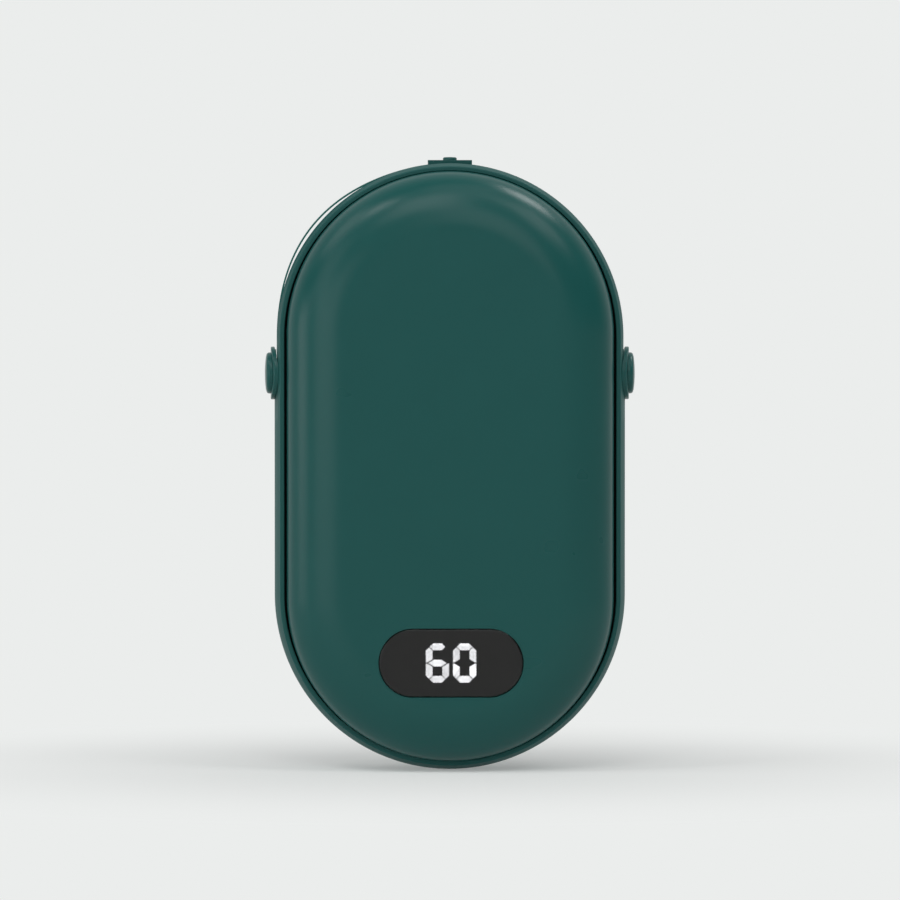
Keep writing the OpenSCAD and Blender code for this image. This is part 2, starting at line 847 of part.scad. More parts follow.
// From the cell, over the tray's wall, into the socket
module battery_leads() {
    top_z = tray_rim_z + corner_r;
    socket_z = board_top_z + socket_h / 2;
    color([0.7, 0.1, 0.08]) upright() for (side = [-1, 1]) {
        x = socket_x + side * wire_pitch / 2;
        wire([[x, cell_low, top_z], [x, tray_low - wire_d, top_z],
            [x, tray_low - 2 * wire_d - (top_z - socket_z), socket_z],
            [x, socket_low + socket_w, socket_z]]);
    }
}

module front_heater_leads() {
    z = heater_z - corner_r;
    start_y = front_low - heater_r + 2 * wire_d;
    lead_y = board_high - wire_d;
    color([0.85, 0.85, 0.86]) upright() for (i = [1:2]) {
        x = -capacitor_pitch / 2 - capacitor_r - i * wire_pitch + wire_r;
        wire([[x, start_y, z], [x, lead_y, z], [x, lead_y, board_top_z]]);
    }
}

module rear_heater_leads() {
    z = corner_r - heater_z;
    lead_y = display_h + chip_l / 2 + wire_d;
    color([0.85, 0.85, 0.86]) upright() for (i = [1:2]) {
        x = chip_l + i * wire_pitch;
        wire([[x, lead_y - chip_l, z], [x, lead_y, z], [x, lead_y, board_z]]);
    }
}

// From the switch board, down beside the tray, to the main board
module switch_leads() {
    low_y = tray_low - wire_d;
    board_x = board_w / 2 - wire_d;
    color([0.1, 0.1, 0.1]) upright() for (i = [0:1]) {
        z = wire_side_z + i * wire_pitch;
        wire([[wire_d - rail_in_x, switch_base - board_t, z], [wire_d - rail_in_x, tray_high + 3 * ear_r, z],
            [-wire_side_x, tray_high + ear_r, z], [-wire_side_x, low_y, z],
            [-board_x, display_h - i * wire_pitch, z],
            [-board_x, display_h - i * wire_pitch, board_top_z]]);
    }
}

// Flat base on the arch, with a sleeve through the mid-frame
module button_base() {
    color(green) upright() difference() {
        union() {
            difference() {
                box(0, body_top, -base_w / 2, [base_l, base_top - body_top, base_w]);
                strap_floor();
            }
            tall_cylinder(sleeve_r, sleeve_end, floor_top);
        }
        tall_cylinder(button_d / 2 + button_gap, body_top, button_top + over);
    }
}

module power_button() {
    r = button_d / 2;
    color(green) upright() rotate([-90, 0, 0]) rotate_extrude()
        polygon([[0, button_end], [flange_r, button_end], [flange_r, sleeve_end - button_gap],
            [r, sleeve_end - button_gap], [r, button_top - button_edge], [r - button_edge, button_top],
            [0, button_top]]);
}

module button_switch() {
    color([0.15, 0.15, 0.16]) upright() {
        box(0, switch_base, -switch_w / 2, [switch_l, switch_h, switch_w]);
        tall_cylinder(plunger_d / 2, switch_base + switch_h, plunger_top);
    }
}

module switch_board() {
    color(board_green) upright()
        box(0, switch_base - board_t, -switch_board_w / 2, [switch_board_l, board_t, switch_board_w]);
}

// How far the strap stands off at an angle on the arch, counted from its left end
function bow(a) = a < bow_span ? strap_bow * pow(sin(180 * a / bow_span), 2) : 0;

// Points of the strap's arch, at a radius plus the stand-off
function arch_points(r) = [
    for (i = [0:strap_steps])
        let (a = 180 * i / strap_steps, out = r + bow(180 - a)) [out * cos(a), body_top + out * sin(a)]
];

// Strap over the arch, from eyelet to eyelet, with a notch that clears the button's base
module carry_strap() {
    inside = arch_points(strap_in);
    outside = arch_points(strap_out);
    color(green_light) upright() difference() {
        union() {
            translate([0, 0, -strap_w / 2]) linear_extrude(strap_w)
                polygon(concat([[strap_in, pivot_h]], inside, [[-strap_in, pivot_h]],
                    [[-strap_out, pivot_h]], [for (i = [0:strap_steps]) outside[strap_steps - i]],
                    [[strap_out, pivot_h]]));
            both_sides() translate([0, pivot_h, 0]) side_cylinder(eyelet_d / 2, strap_in, strap_out);
        }
        both_sides() translate([0, pivot_h, 0])
            side_cylinder(stud_d / 2 + eyelet_gap, strap_in - over, strap_out + over);
        translate([-base_l / 2 - notch_gap_left, body_top, -base_w / 2 - notch_gap_back])
            cube([base_l + notch_gap_left + notch_gap_right, body_h, body_d]);
    }
}

// Stud through the mid-frame's wall, the strap and the plate, into the cap
module pivot_stud() {
    upright() translate([0, pivot_h, 0]) {
        side_cylinder(stud_head_d / 2, inner_r - stud_head_t, inner_r);
        side_cylinder(stud_d / 2, inner_r, cap_top - cap_cover_t);
    }
}

// Long cylinder up the housing, about an axis at some distance from the middle
module side_bulge(x, r) {
    translate([x, -body_w / 2, 0]) rotate([-90, 0, 0]) cylinder(r = r, h = body_w, $fn = bulge_fn);
}

// Round solid with a bulged outer face, as far out as top
module bulged_disc(d, from, top) {
    intersection() {
        side_cylinder(d / 2, from, top + over);
        side_bulge(top - plate_bulge_r, plate_bulge_r);
    }
}

// Plate that is seated on the mid-frame's side round the eyelet, open where the strap swings through
module pivot_plate() {
    passage = asin((strap_w / 2 + recess_gap) / recess_r);
    upright() translate([0, pivot_h, 0]) difference() {
        union() {
            difference() {
                bulged_disc(plate_d, barrel_x, plate_top);
                side_bulge(barrel_x, barrel_r + eyelet_gap);
            }
            bulged_disc(eyelet_d, plate_x, plate_top);
        }
        side_cylinder(recess_r, 0, plate_x);
        rotate([0, 90, 0]) linear_extrude(plate_x) polygon(concat([[0, 0]], [
            for (i = [0:curve_steps])
                let (a = (swing_max + 2 * passage) * i / curve_steps - passage) plate_d * [sin(a), cos(a)]
        ]));
        side_cylinder(stud_d / 2, plate_x - over, plate_top + over);
    }
}

// Domed cap, hollowed to sit on the bulged plate
module pivot_cap() {
    rim_r = cap_d / 2;
    dome_r = (pow(rim_r, 2) + pow(cap_dome, 2)) / (2 * cap_dome);
    dome_angle = asin(rim_r / dome_r);
    upright() translate([0, pivot_h, 0]) difference() {
        rotate([0, 90, 0]) rotate_extrude()
            polygon(concat([[0, cap_top - cap_cover_t], [stud_d / 2, cap_top - cap_cover_t],
                [stud_d / 2, plate_x], [rim_r, plate_x]],
                arc_points(0, cap_top - dome_r, dome_r, 90 - dome_angle, 90)));
        side_bulge(plate_top - plate_bulge_r, plate_bulge_r);
    }
}

module left_pivot_stud() { color(steel) mirror([1, 0, 0]) pivot_stud(); }
module right_pivot_stud() { color(steel) pivot_stud(); }
module left_pivot_plate() { color(green) mirror([1, 0, 0]) pivot_plate(); }
module right_pivot_plate() { color(green) pivot_plate(); }
module left_pivot_cap() { color(green_light) mirror([1, 0, 0]) pivot_cap(); }
module right_pivot_cap() { color(green_light) pivot_cap(); }

mid_frame();
front_panel();
rear_panel();
front_gasket();
rear_gasket();
display_window();
display_mask();
lit_segments();
unlit_segments();
display_module();
display_board();
display_header();
display_screws();
main_board();
board_chips();
power_inductor();
board_capacitors();
battery_socket();
charging_port();
board_screws();
battery_cell();
battery_tray();
battery_foam();
tray_screws();
battery_leads();
front_heat_spreader();
front_heater();
front_insulation();
front_heater_leads();
rear_heat_spreader();
rear_heater();
rear_insulation();
rear_heater_leads();
temperature_sensor();
button_base();
power_button();
button_switch();
switch_board();
switch_leads();
carry_strap();
left_pivot_stud();
right_pivot_stud();
left_pivot_plate();
right_pivot_plate();
left_pivot_cap();
right_pivot_cap();
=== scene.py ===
"""Rechargeable hand warmer: its looks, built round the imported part. Metres, +Z up, the display faces -Y."""

import json
from math import acos, asin, atan, cos, pi, radians, sin, sqrt

import bmesh
import bpy
from mathutils import Matrix, Vector


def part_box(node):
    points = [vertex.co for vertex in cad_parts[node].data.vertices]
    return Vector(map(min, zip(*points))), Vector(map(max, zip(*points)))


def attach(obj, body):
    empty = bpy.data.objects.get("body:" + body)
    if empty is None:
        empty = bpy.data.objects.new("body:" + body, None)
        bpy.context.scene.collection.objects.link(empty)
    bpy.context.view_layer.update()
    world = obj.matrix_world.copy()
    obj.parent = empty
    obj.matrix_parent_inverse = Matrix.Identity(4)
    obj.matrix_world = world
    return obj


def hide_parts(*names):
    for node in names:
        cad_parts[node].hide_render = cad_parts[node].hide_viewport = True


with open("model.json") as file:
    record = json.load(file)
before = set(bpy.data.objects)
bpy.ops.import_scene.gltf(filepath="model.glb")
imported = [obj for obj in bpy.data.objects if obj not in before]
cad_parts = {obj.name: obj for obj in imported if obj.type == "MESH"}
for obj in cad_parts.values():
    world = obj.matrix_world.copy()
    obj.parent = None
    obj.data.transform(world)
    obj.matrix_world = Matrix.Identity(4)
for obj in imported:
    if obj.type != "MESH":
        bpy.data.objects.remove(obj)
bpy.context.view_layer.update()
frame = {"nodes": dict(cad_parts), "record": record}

# Sizes of the housing, from the frame
MM = 0.001
panel_low, panel_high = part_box("front_panel")
frame_low, frame_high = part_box("mid_frame")
seal_low, seal_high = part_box("front_gasket")
HOUSING_H = panel_low.z + panel_high.z
HOUSING_R = (frame_high.x - frame_low.x) / 2
HOUSING_LOW, HOUSING_TOP = HOUSING_R, HOUSING_H - HOUSING_R
OPENING_R = (seal_high.x - seal_low.x) / 2
OPENING_LOW, OPENING_TOP = seal_low.z + OPENING_R, seal_high.z - OPENING_R
PANEL_R = (panel_high.x - panel_low.x) / 2
LIP_Y = frame_high.y
CROWN_Y = -panel_low.y
LEDGE_Y = -seal_high.y

# Sizes of the moulding that the frame's boxes don't give
BARREL_R = 16 * MM
LIP_BEVEL = 0.25 * MM
LEDGE_W = 1.7 * MM
PANEL_WALL = 1.6 * MM
SHOULDER_W = 10.5 * MM
SEAL_T = 0.8 * MM
EDGE_R = 0.12 * MM
FINE_EDGE_R = 0.06 * MM
FLAT_R = PANEL_R - SHOULDER_W
INNER_R = OPENING_R - LEDGE_W
BARREL_X = HOUSING_R - BARREL_R
FOOT_Y = LEDGE_Y + SEAL_T

# Window, strap and pivots
window_low, window_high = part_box("display_window")
WINDOW_GAP = 0.15 * MM
WINDOW_LEDGE = 1.05 * MM
WINDOW_BEVEL = 0.2 * MM
strap_low, strap_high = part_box("carry_strap")
plate_low, plate_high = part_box("right_pivot_plate")
cap_low, cap_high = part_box("right_pivot_cap")
base_low, base_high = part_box("button_base")
button_low, button_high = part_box("power_button")
PIVOT_Z = (plate_low.z + plate_high.z) / 2
RECESS_D = 0.75 * MM
RECESS_GAP = 0.15 * MM
STRAP_FLOOR_R = HOUSING_R - RECESS_D
EYELET_GAP = 0.05 * MM
EYELET_R = (strap_high.y - strap_low.y) / 2
SEAT_GAP = 0.05 * MM
PLATE_R = (plate_high.z - plate_low.z) / 2
CAP_R = (cap_high.z - cap_low.z) / 2
PLATE_TOP = plate_high.x
PLATE_BULGE_R = 20 * MM
PLATE_EDGE_R = 0.22 * MM
PLATE_CORE_T = 0.45 * MM
CAP_DOME = 0.3 * MM
CAP_COVER_T = 0.42 * MM
CAP_EDGE_R = 0.5 * MM
STUD_R = 1.5 * MM
RECESS_R = EYELET_R + 0.15 * MM
STRAP_W = 7 * MM
STRAP_T = 0.3 * MM
STRAP_OUT = strap_high.x
STRAP_IN = STRAP_OUT - STRAP_T
STRAP_BOW = 0.72 * MM
BOW_SPAN = 76
SWING_R = HOUSING_TOP + STRAP_IN - PIVOT_Z
REAR_FLOOR_R = STRAP_FLOOR_R - SWING_R + sqrt(SWING_R ** 2 - LIP_Y ** 2)
SEAT_X = STRAP_IN - EYELET_GAP
NOTCH_LEFT = 0.3 * MM
NOTCH_RIGHT = 0.1 * MM
NOTCH_BACK = 0.3 * MM
SWING_MAX = 110
SWING_GAP = 0.3 * MM
BUTTON_R = 1.25 * MM
BUTTON_GAP = 0.05 * MM
SLEEVE_R = BUTTON_R + BUTTON_GAP + 0.6 * MM
BUTTON_EDGE_R = 0.3 * MM
FLANGE_T = 0.6 * MM
PORT_FIT = 0.1 * MM
port_low, port_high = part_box("charging_port")

# Fineness of the round shapes
ARC_STEPS = 96
CROWN_STEPS = 40
BARREL_STEPS = 24
ROUND_STEPS = 4
SMOOTH_ANGLE = radians(32)
# Smallest depth share of a normal for a face that counts as lying flat on the front or the back
FLAT_FACE = 0.99999
# Border that keeps the panel's flat middle apart from its crown, and the depth under the flat that is rounded
FLAT_BORDER = 0.3 * MM
UNDER_FLAT = 0.05 * MM


def lin(hex_colour):
    """Linear RGBA of an sRGB hex colour."""
    parts = [int(hex_colour[i:i + 2], 16) / 255 for i in (1, 3, 5)]
    return [c / 12.92 if c <= 0.04045 else ((c + 0.055) / 1.055) ** 2.4 for c in parts] + [1]


def node(tree, kind, settings=None, **inputs):
    """Adds a node with its settings; an input, by name or as i and its number, is a value or a socket."""
    made = tree.nodes.new(kind)
    for key, value in (settings or {}).items():
        setattr(made, key, value)
    for key, value in inputs.items():
        numbered = key[0] == "i" and key[1:].isdigit()
        socket = made.inputs[int(key[1:]) if numbered else key.replace("_", " ")]
        if isinstance(value, bpy.types.NodeSocket):
            tree.links.new(value, socket)
        else:
            socket.default_value = value
    return made


def material(name):
    """A new material, with its tree, its shader and its Object coordinates."""
    made = bpy.data.materials.new(name)
    made.use_nodes = True
    tree = made.node_tree
    shader = tree.nodes["Principled BSDF"]
    where = node(tree, "ShaderNodeTexCoord").outputs["Object"]
    return made, tree, shader, where


def soft_touch(name, colour, pale, rough, grain_mm):
    """ABS under a satin soft-touch lacquer: even and deep, with a skin of grain as fine as flour that
    widens every highlight, and the faintest cloudiness in its colour and sheen."""
    made, tree, shader, where = material(name)
    cloud = node(tree, "ShaderNodeTexNoise", Vector=where, Scale=1 / (14 * MM), Detail=3.0)
    tone = node(tree, "ShaderNodeMix", {"data_type": "RGBA"}, i0=cloud.outputs["Fac"], i6=lin(colour),
                i7=lin(pale))
    grain = node(tree, "ShaderNodeTexNoise", Vector=where, Scale=1 / (grain_mm * MM), Detail=2.0)
    bump = node(tree, "ShaderNodeBump", Height=grain.outputs["Fac"], Strength=0.06, Distance=0.02 * MM)
    spread = node(tree, "ShaderNodeMapRange", Value=cloud.outputs["Fac"], i3=rough - 0.02, i4=rough + 0.02)
    tree.links.new(tone.outputs[2], shader.inputs["Base Color"])
    tree.links.new(spread.outputs[0], shader.inputs["Roughness"])
    tree.links.new(bump.outputs[0], shader.inputs["Normal"])
    shader.inputs["Specular IOR Level"].default_value = LACQUER_GLOSS
    return made


def plain(name, colour, rough, metallic=0.0, grain_mm=0.3, bump_mm=0.01, spread=0.06, gloss=0.5):
    """A moulded, pressed or plated surface with a fine grain in its colour, its roughness and its relief."""
    made, tree, shader, where = material(name)
    grain = node(tree, "ShaderNodeTexNoise", Vector=where, Scale=1 / (grain_mm * MM), Detail=3.0)
    shade = node(tree, "ShaderNodeMapRange", Value=grain.outputs["Fac"], i3=0.9, i4=1.1)
    tone = node(tree, "ShaderNodeVectorMath", {"operation": "SCALE"}, i0=lin(colour)[:3],
                Scale=shade.outputs[0])
    rise = node(tree, "ShaderNodeMapRange", Value=grain.outputs["Fac"], i3=rough - spread, i4=rough + spread)
    bump = node(tree, "ShaderNodeBump", Height=grain.outputs["Fac"], Strength=0.3, Distance=bump_mm * MM)
    tree.links.new(tone.outputs[0], shader.inputs["Base Color"])
    tree.links.new(rise.outputs[0], shader.inputs["Roughness"])
    tree.links.new(bump.outputs[0], shader.inputs["Normal"])
    shader.inputs["Metallic"].default_value = metallic
    shader.inputs["Specular IOR Level"].default_value = gloss
    return made


def smoked_acrylic():
    """Smoked acrylic of the display window with a satin face, which turns reflections into an even soft
    grey, and with the lit segments shining through."""
    made, tree, shader, where = material("smoked_acrylic")
    haze = node(tree, "ShaderNodeTexNoise", Vector=where, Scale=1 / (0.15 * MM), Detail=2.0)
    satin = node(tree, "ShaderNodeMapRange", Value=haze.outputs["Fac"], i3=0.26, i4=0.32)
    tree.links.new(satin.outputs[0], shader.inputs["Roughness"])
    shader.inputs["Base Color"].default_value = lin("#8c8b8b")
    shader.inputs["IOR"].default_value = 1.49
    shader.inputs["Transmission Weight"].default_value = 1.0
    return made


def lit_white():
    """Diffuser film over the display's lamps, glowing an even cold white."""
    made, tree, shader, where = material("lit_white")
    shader.inputs["Base Color"].default_value = lin("#e8ecf0")
    shader.inputs["Emission Color"].default_value = lin("#ffffff")
    shader.inputs["Emission Strength"].default_value = 1.4
    return made


# Share of the lacquer's shine: the soft-touch skin is duller than bare plastic's 0.5
LACQUER_GLOSS = 0.22
# Lacquered covers: long soft highlights over the crown
GREEN = soft_touch("soft_touch_green", "#154c49", "#174f4c", 0.28, 0.12)
# The same green on the mid-frame, duller, so that its bulged side stays green at a glance along it
FRAME = soft_touch("soft_touch_frame", "#154c49", "#174f4c", 0.55, 0.12)
# Rubbery strap: a shade lighter, and dull
BAND = soft_touch("strap_green", "#1b5954", "#1e5e58", 0.5, 0.2)
# Moulded silicone, near pure black and without shine: partly the seal's own black, partly painted shade that
# stands in for the depth of the seam gap
SEAL_AND_SEAM_SHADE = plain("silicone_seal_and_painted_seam_shade", "#030303", 0.9, gloss=0.15)
# Ink on the display: black behind the smoked window
MASK = plain("printed_mask_black", "#08080a", 0.6)
WINDOW = smoked_acrylic()
LIT = lit_white()
# Nickel plate: a bright, slightly rough metal
STEEL = plain("nickel_plated_steel", "#b9bcc0", 0.28, metallic=1.0, grain_mm=0.4, bump_mm=0.003)
# The pieces inside, which show only where a cover is off: plastics dull, foils and boards with some shine
UNLIT = plain("unlit_diffuser", "#0c0c0d", 0.5)
CASE_WHITE = plain("moulded_pbt_white", "#dcdedf", 0.45)
BOARD = plain("solder_resist_green", "#0d3d28", 0.35, grain_mm=0.5, bump_mm=0.004)
EPOXY = plain("moulded_epoxy_black", "#151516", 0.5)
CAPACITOR = plain("capacitor_sleeve_tan", "#8c7333", 0.4)
FOIL = plain("laminated_foil", "#bfc4cc", 0.35, metallic=1.0, grain_mm=2.0, bump_mm=0.05)
TRAY = plain("moulded_abs_grey", "#383b3d", 0.55)
FOAM_GREY = plain("foam_grey", "#4d4f54", 0.95, grain_mm=0.4, bump_mm=0.06)
FOAM_WHITE = plain("foam_white", "#dbdbd6", 0.95, grain_mm=0.4, bump_mm=0.06)
WIRE_RED = plain("pvc_wire_red", "#b31a14", 0.4)
WIRE_WHITE = plain("pvc_wire_white", "#d9d9db", 0.4)
WIRE_BLACK = plain("pvc_wire_black", "#141414", 0.4)
ALUMINIUM = plain("rolled_aluminium", "#c4c6c9", 0.4, metallic=1.0, grain_mm=0.3, bump_mm=0.004)
FILM = plain("polyimide_film", "#c76b1f", 0.3, grain_mm=0.6, bump_mm=0.004)


def arc(x, y, r, start, end, steps):
    """Points of an arc in degrees."""
    turns = [radians(start + (end - start) * i / steps) for i in range(steps + 1)]
    return [(x + r * cos(a), y + r * sin(a)) for a in turns]


def stadium_sweep(profile, low, high, closed=True):
    """Runs a half profile of (radius, y) points round both ends of a stadium and along its sides."""
    bm = bmesh.new()
    verts = [bm.verts.new((r, y, high)) for r, y in profile]
    pairs = list(zip(verts, verts[1:] + verts[:1] if closed else verts[1:]))
    ring = verts + [bm.edges.new(p) for p in pairs]
    for centre, fall in ((high, low - high), (low, high - low)):
        ring = bmesh.ops.spin(bm, geom=ring, cent=(0, 0, centre), axis=(0, -1, 0), angle=pi,
                              steps=ARC_STEPS)["geom_last"]
        edges = [g for g in ring if isinstance(g, bmesh.types.BMEdge)]
        ring = bmesh.ops.extrude_edge_only(bm, edges=edges)["geom"]
        ring = [g for g in ring if not isinstance(g, bmesh.types.BMFace)]
        moved = [g for g in ring if isinstance(g, bmesh.types.BMVert)]
        bmesh.ops.translate(bm, verts=moved, vec=(0, 0, fall))
    bmesh.ops.remove_doubles(bm, verts=bm.verts, dist=0.001 * MM)
    if not closed:
        bmesh.ops.holes_fill(bm, edges=[e for e in bm.edges if e.is_boundary])
    bmesh.ops.recalc_face_normals(bm, faces=bm.faces)
    return bm


def lathe(profile, ring=False):
    """Turns a profile of (radius, height) points about Z into a closed solid; a ring has a hole in it."""
    bm = bmesh.new()
    verts = [bm.verts.new((r, 0, h)) for r, h in profile]
    edges = [bm.edges.new(p) for p in zip(verts, verts[1:] + verts[:1] if ring else verts[1:])]
    bmesh.ops.spin(bm, geom=verts + edges, cent=(0, 0, 0), axis=(0, 0, 1), angle=2 * pi, steps=ARC_STEPS,
                   use_merge=True)
    bmesh.ops.remove_doubles(bm, verts=bm.verts, dist=0.001 * MM)
    bmesh.ops.recalc_face_normals(bm, faces=bm.faces)
    return bm


def cylinder(r, length, middle, axis):
    """Closed cylinder about its middle, along an axis."""
    bm = bmesh.new()
    bmesh.ops.create_cone(bm, cap_ends=True, segments=ARC_STEPS, radius1=r, radius2=r, depth=length)
    turn = Vector((0, 0, 1)).rotation_difference(Vector(axis)).to_matrix()
    bmesh.ops.rotate(bm, verts=bm.verts, cent=(0, 0, 0), matrix=turn)
    bmesh.ops.translate(bm, verts=bm.verts, vec=middle)
    return bm


def block(low, high):
    """Closed box between two corners."""
    bm = bmesh.new()
    size = Vector(high) - Vector(low)
    bmesh.ops.create_cube(bm, size=1)
    bmesh.ops.scale(bm, verts=bm.verts, vec=size)
    bmesh.ops.translate(bm, verts=bm.verts, vec=Vector(low) + size / 2)
    return bm


def pill(length, width, z, y_from, y_to):
    """Closed pill-shaped plate lying across the housing, between two depths."""
    bm = bmesh.new()
    r = width / 2
    half = length / 2 - r
    outline = [(half + x, h) for x, h in arc(0, 0, r, -90, 90, ARC_STEPS // 2)]
    outline += [(x - half, h) for x, h in arc(0, 0, r, 90, 270, ARC_STEPS // 2)]
    face = bm.faces.new([bm.verts.new((x, y_from, z + h)) for x, h in outline])
    swept = bmesh.ops.extrude_face_region(bm, geom=[face])["geom"]
    moved = [g for g in swept if isinstance(g, bmesh.types.BMVert)]
    bmesh.ops.translate(bm, verts=moved, vec=(0, y_to - y_from, 0))
    bmesh.ops.recalc_face_normals(bm, faces=bm.faces)
    return bm


def as_object(name, bm):
    """An object that holds the mesh of a bmesh."""
    mesh = bpy.data.meshes.new(name)
    bm.to_mesh(mesh)
    bm.free()
    made = bpy.data.objects.new(name, mesh)
    bpy.context.scene.collection.objects.link(made)
    return made


def combine(bm, other, operation="DIFFERENCE"):
    """The boolean of two bmeshes, as a new bmesh."""
    first, second = as_object("first", bm), as_object("second", other)
    cut = first.modifiers.new("cut", "BOOLEAN")
    cut.operation, cut.solver, cut.object = operation, "EXACT", second
    done = bpy.data.meshes.new_from_object(first.evaluated_get(bpy.context.evaluated_depsgraph_get()))
    out = bmesh.new()
    out.from_mesh(done)
    for used in (first, second):
        mesh = used.data
        bpy.data.objects.remove(used)
        bpy.data.meshes.remove(mesh)
    bpy.data.meshes.remove(done)
    bmesh.ops.remove_doubles(out, verts=out.verts, dist=0.0005 * MM)
    return out


def round_edges(bm, pick, width, segments=ROUND_STEPS):
    """Rounds the edges that a test picks."""
    edges = [e for e in bm.edges if pick(e)]
    bmesh.ops.bevel(bm, geom=edges, offset=width, offset_type="OFFSET", affect="EDGES", segments=segments,
                    profile=0.5, material=-1, clamp_overlap=True)
    return bm


def sharp(e):
    """True for an edge whose faces meet at more than the smooth angle."""
    return len(e.link_faces) == 2 and e.calc_face_angle(0) > SMOOTH_ANGLE


def finish_piece(name, bm, finish, body, nodes):
    """Makes the piece of a bmesh, smooth but for its real edges and its flats, gives it its body and its
    finish's slot, and hides the CAD nodes that it stands in for."""
    made = as_object(name, bm)
    made.data.shade_smooth()
    made.data.set_sharp_from_angle(angle=SMOOTH_ANGLE)
    for face in made.data.polygons:
        face.use_smooth = abs(face.normal.y) < FLAT_FACE
    made.data.materials.append(finish)
    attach(made, body)
    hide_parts(*nodes)
    return made


def mirrored(bm, axis):
    """The bmesh turned to its mirror image, with its faces outward."""
    flip = Matrix.Diagonal([-1 if a == axis else 1 for a in "XYZ"])
    bmesh.ops.transform(bm, matrix=flip.to_4x4(), verts=bm.verts)
    bmesh.ops.reverse_faces(bm, faces=bm.faces)
    return bm


def crown(reach, rise):
    """Quarter ellipse from a panel's edge to its flat middle, as (radius, depth) points."""
    turns = [radians(90 * i / CROWN_STEPS) for i in range(CROWN_STEPS + 1)]
    return [(FLAT_R + reach * cos(a), LIP_Y + rise * sin(a)) for a in turns]


def panel(with_window):
    """Crowned shell of one side, front side forward."""
    outer = crown(SHOULDER_W, CROWN_Y - LIP_Y)
    inner = crown(SHOULDER_W - PANEL_WALL, CROWN_Y - PANEL_WALL - LIP_Y)
    foot = [(PANEL_R - PANEL_WALL, FOOT_Y), (PANEL_R, FOOT_Y)]
    profile = inner[::-1] + foot + outer
    bm = stadium_sweep([(r, -y) for r, y in profile], OPENING_LOW, OPENING_TOP, closed=False)
    middle = [f for f in bm.faces if len(f.verts) > 8]
    bmesh.ops.inset_region(bm, faces=middle, thickness=FLAT_BORDER)
    if with_window:
        z = (window_low.z + window_high.z) / 2
        length, width = window_high.x - window_low.x, window_high.z - window_low.z
        for wider, deep in ((2 * WINDOW_GAP, window_high.y), (-2 * WINDOW_LEDGE, -LIP_Y)):
            bm = combine(bm, pill(length + wider, width + wider, z, -CROWN_Y - MM, deep))
        top = -CROWN_Y + UNDER_FLAT
        round_edges(bm, lambda e: sharp(e) and all(v.co.y < top for v in e.verts), EDGE_R)
    return bm


finish_piece("front_cover", panel(True), GREEN, "housing", ["front_panel"])
finish_piece("rear_cover", mirrored(panel(False), "Y"), GREEN, "housing", ["rear_panel"])


def housing_ring():
    """Mid-frame: the bulged ring with its lips and ledges."""
    lip_angle = asin((LIP_Y - LIP_BEVEL) / BARREL_R)
    side = arc(BARREL_X, 0, BARREL_R, -lip_angle * 180 / pi, lip_angle * 180 / pi, BARREL_STEPS)
    lip_x = side[-1][0]
    upper = arc(lip_x - LIP_BEVEL, LIP_Y - LIP_BEVEL, LIP_BEVEL, 0, 90, ROUND_STEPS)[1:]
    inner = arc(OPENING_R + EDGE_R, LIP_Y - EDGE_R, EDGE_R, 90, 180, ROUND_STEPS)
    half = upper + inner + [(OPENING_R, LEDGE_Y), (INNER_R, LEDGE_Y)]
    profile = side + half + [(r, -y) for r, y in half[::-1]]
    bm = stadium_sweep(profile, HOUSING_LOW, HOUSING_TOP)
    # An edge loop under the recess keeps the shading of the cuts there from running down the sides
    bmesh.ops.bisect_plane(bm, geom=bm.verts[:] + bm.edges[:] + bm.faces[:], plane_no=(0, 0, 1),
                           plane_co=(0, 0, PIVOT_Z - 2 * RECESS_R))
    return bm


def strap_floor():
    """Solid under the strap: the arch at the recess's floor, falling away behind the middle."""
    profile = [(0, -2 * LIP_Y), (STRAP_FLOOR_R, -2 * LIP_Y), (STRAP_FLOOR_R, 0), (REAR_FLOOR_R, LIP_Y),
               (REAR_FLOOR_R, 2 * LIP_Y), (0, 2 * LIP_Y)]
    return stadium_sweep(profile, HOUSING_LOW, HOUSING_TOP)


def joined(bm, other):
    """The two bmeshes as one, each a closed shell of its own."""
    mesh = bpy.data.meshes.new("joined")
    other.to_mesh(mesh)
    other.free()
    bm.from_mesh(mesh)
    bpy.data.meshes.remove(mesh)
    return bm


def inner_posts():
    """Posts and rails inside the mid-frame, as the frame has them."""
    bm = bmesh.new()
    bm.from_mesh(frame["nodes"]["mid_frame"].data)
    bmesh.ops.remove_doubles(bm, verts=bm.verts, dist=0.001 * MM)
    r = INNER_R - 0.02 * MM
    square = [(0, -CROWN_Y), (r, -CROWN_Y), (r, CROWN_Y), (0, CROWN_Y)]
    inside = stadium_sweep(square, OPENING_LOW, OPENING_TOP)
    return combine(bm, inside, "INTERSECT")


